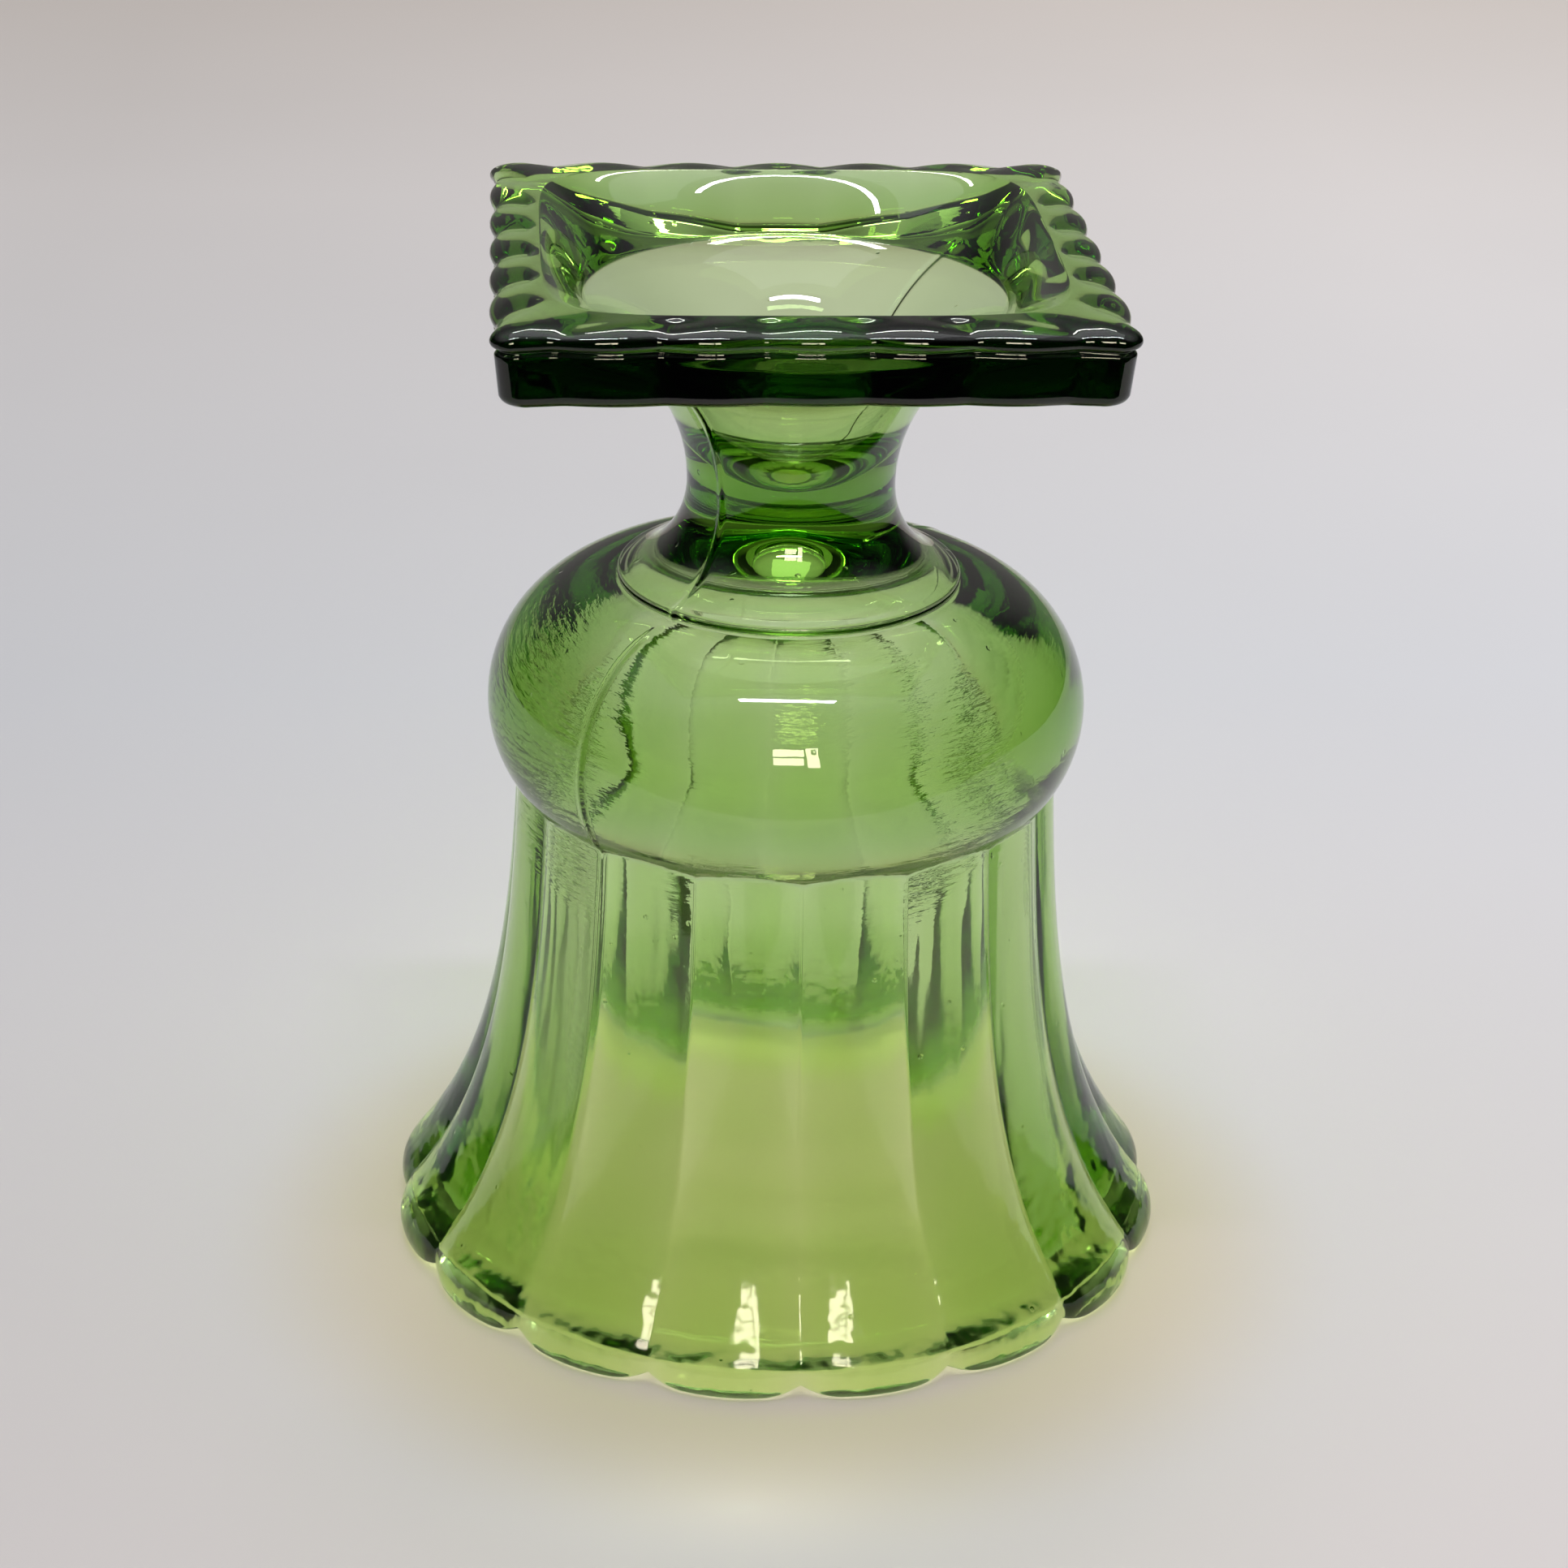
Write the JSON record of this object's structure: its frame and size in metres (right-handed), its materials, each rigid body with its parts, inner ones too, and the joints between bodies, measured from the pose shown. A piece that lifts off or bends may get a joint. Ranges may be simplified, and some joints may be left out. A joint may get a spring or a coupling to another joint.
{
  "type": "glass candlestick",
  "caption": "Pressed green glass candlestick with a fluted bell-shaped cup, round bulb, waisted stem and square scalloped foot, standing on the cup's mouth.",
  "frame": {"origin": "centre of the rim plane of the cup's mouth, on which the piece stands as pictured", "axes": "+Z along the axis from the cup's mouth to the foot, +X and +Y square to the foot's sides"},
  "size_m": [0.0864, 0.0864, 0.1151],
  "materials": {
    "glass": "clear gloss"
  },
  "bodies": {
    "root": {"foot_bead": "glass", "foot_band": "glass", "foot_dish": "glass", "stem": "glass", "collar": "glass", "bulb": "glass", "bell": "glass", "petal_rim": "glass"}
  },
  "joints": []
}
